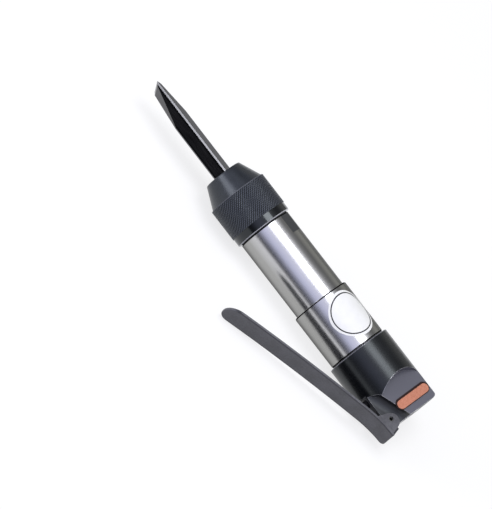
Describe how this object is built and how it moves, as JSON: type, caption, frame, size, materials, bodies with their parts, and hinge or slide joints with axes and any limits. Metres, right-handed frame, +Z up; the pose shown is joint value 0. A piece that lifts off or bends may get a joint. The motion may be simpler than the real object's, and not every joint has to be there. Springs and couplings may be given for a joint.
{
  "type": "pneumatic chisel",
  "caption": "Straight pneumatic chisel: black lever-throttle head with an air inlet, polished barrel and exhaust sleeve, knurled screw-on nose and a square-shank chisel.",
  "frame": {"origin": "centre of the air inlet's mouth, on the tool axis", "axes": "+X points out of the air inlet along the tool axis, so the chisel points to -X; +Z is up when the tool lies on the head and on the lower edge of the lever, with the lever towards -Y"},
  "size_m": [0.2982, 0.0909, 0.0484],
  "materials": {
    "black_steel": "satin black oxide with worn edges",
    "polished_steel": "polished steel with fine turning marks",
    "lever_steel": "matt dark grey phosphate",
    "tool_steel": "blackened tool steel, ground bright at the chamfers",
    "bright_steel": "machined steel",
    "bronze": "turned bronze",
    "rubber": "matt black rubber",
    "white_film": "blank white film with a thin dark ring",
    "orange_plate": "blank orange enamelled plate with a dark rim"
  },
  "bodies": {
    "body": {"head": "black_steel", "inlet_bush": "bright_steel", "inlet_seal": "rubber", "inlet_screen": "bronze", "lever_pin": "black_steel", "plunger_bush": "black_steel", "plunger_seal": "rubber", "valve_spring": "bright_steel", "valve_plug": "bright_steel", "valve_plug_seal": "rubber", "valve_cap": "bright_steel", "valve_seat": "bright_steel", "valve_dowels": "bright_steel", "barrel": "polished_steel", "head_gasket": "rubber", "exhaust_sleeve": "polished_steel", "sleeve_circlip": "bright_steel", "chisel_bush": "bright_steel", "round_decal": "white_film", "oil_plate": "orange_plate"},
    "lever": {"throttle_lever": "lever_steel"},
    "throttle": {"throttle_plunger": "black_steel", "throttle_valve": "bright_steel", "throttle_valve_seal": "rubber"},
    "disc": {"valve_disc": "bright_steel"},
    "hammer": {"piston": "bright_steel"},
    "nose_carrier": {"nose_seal": "rubber"},
    "nose": {"nose_cap": "black_steel", "buffer_ring": "rubber"},
    "chisel": {"chisel": "tool_steel"}
  },
  "joints": [
    {"name": "lever_hinge", "type": "hinge", "parent": "body", "child": "lever", "pos_m": [-0.0055, -0.01905, -0.0044], "axis": [0, 0.225, -0.9744], "range_deg": [0, 12.5], "stiffness_Nm_per_rad": 2, "springref_deg": -11.46},
    {"name": "throttle_slide", "type": "slide", "parent": "body", "child": "throttle", "axis": [0, 0.9744, 0.225], "range_m": [0, 0.0042], "deforming": ["valve_spring"]},
    {"name": "disc_float", "type": "slide", "parent": "body", "child": "disc", "axis": [1, 0, 0], "range_m": [0, 0.0012]},
    {"name": "piston_slide", "type": "slide", "parent": "body", "child": "hammer", "axis": [-1, 0, 0], "range_m": [0, 0.0425]},
    {"name": "nose_advance", "type": "slide", "parent": "body", "child": "nose_carrier", "axis": [-1, 0, 0], "range_m": [0, 0.012]},
    {"name": "nose_turn", "type": "hinge", "parent": "nose_carrier", "child": "nose", "pos_m": [-0.19, 0, 0], "axis": [-1, 0, 0], "range_deg": [0, 2160]},
    {"name": "chisel_slide", "type": "slide", "parent": "nose", "child": "chisel", "axis": [1, 0, 0], "range_m": [0, 0.0085]}
  ],
  "couplings": [
    {"joint": "throttle_slide", "follows": "lever_hinge", "m_per_rad": 0.01921},
    {"joint": "nose_advance", "follows": "nose_turn", "m_per_rad": 0.0003183}
  ]
}
